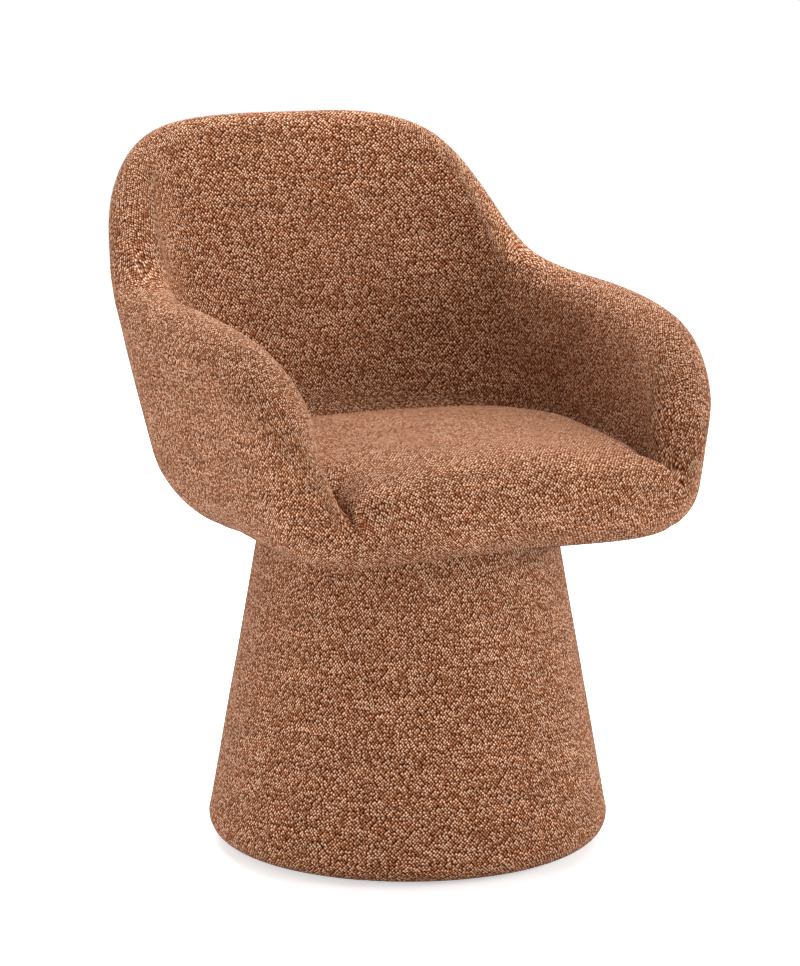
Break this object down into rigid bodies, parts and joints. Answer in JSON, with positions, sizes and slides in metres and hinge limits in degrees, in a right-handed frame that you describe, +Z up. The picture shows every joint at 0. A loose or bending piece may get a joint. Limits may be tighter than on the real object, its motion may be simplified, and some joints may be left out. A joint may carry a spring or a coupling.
{
  "type": "swivel armchair",
  "caption": "Padded tub armchair with a rounded back that flows into low arms, turning on a round fabric-covered pedestal that widens to the floor.",
  "frame": {"origin": "on the floor, on the swivel's turning axis", "axes": "+Z up along the turning axis, -Y the way the sitter faces at rest, +X to the right as seen from in front"},
  "size_m": [0.5908, 0.6116, 0.7998],
  "materials": {
    "tweed": "chunky rust-brown chenille tweed with tan flecks",
    "foam": "open-cell upholstery foam",
    "shell_plastic": "moulded, matt",
    "plywood": "sanded birch plywood",
    "fibreboard": "bent hardboard",
    "zinc_steel": "zinc plated",
    "bearing_steel": "polished balls",
    "cage_plastic": "natural nylon",
    "dust_cloth": "black nonwoven cloth",
    "glide_plastic": "black nylon"
  },
  "bodies": {
    "base": {"pedestal_cover": "tweed", "pedestal_foam": "foam", "pedestal_drum": "fibreboard", "pedestal_top_board": "plywood", "pedestal_bottom_board": "plywood", "rib_lengthwise": "plywood", "rib_crosswise": "plywood", "top_board_screws": "zinc_steel", "bottom_board_screws": "zinc_steel", "base_dust_cover": "dust_cloth", "glides": "glide_plastic", "lower_swivel_plate": "zinc_steel", "lower_bolts": "zinc_steel", "lower_tee_nuts": "zinc_steel", "centre_rivet": "zinc_steel", "rivet_washer": "zinc_steel"},
    "bearing": {"bearing_balls": "bearing_steel", "ball_cage": "cage_plastic"},
    "seat": {"upper_swivel_plate": "zinc_steel", "upper_bolts": "zinc_steel", "upper_tee_nuts": "zinc_steel", "seat_board": "plywood", "shell_screws": "zinc_steel", "tub_shell": "shell_plastic", "tub_foam": "foam", "tub_cover": "tweed", "seat_foam": "foam", "seat_cover": "tweed", "seat_dust_cover": "dust_cloth"}
  },
  "joints": [
    {"name": "seat_swivel", "type": "hinge", "parent": "base", "child": "seat", "pos_m": [0, 0, 0.368], "axis": [0, 0, 1], "continuous": true},
    {"name": "bearing_roll", "type": "hinge", "parent": "base", "child": "bearing", "pos_m": [0, 0, 0.368], "axis": [0, 0, 1], "continuous": true}
  ],
  "couplings": [
    {"joint": "bearing_roll", "follows": "seat_swivel", "ratio": 0.5}
  ]
}
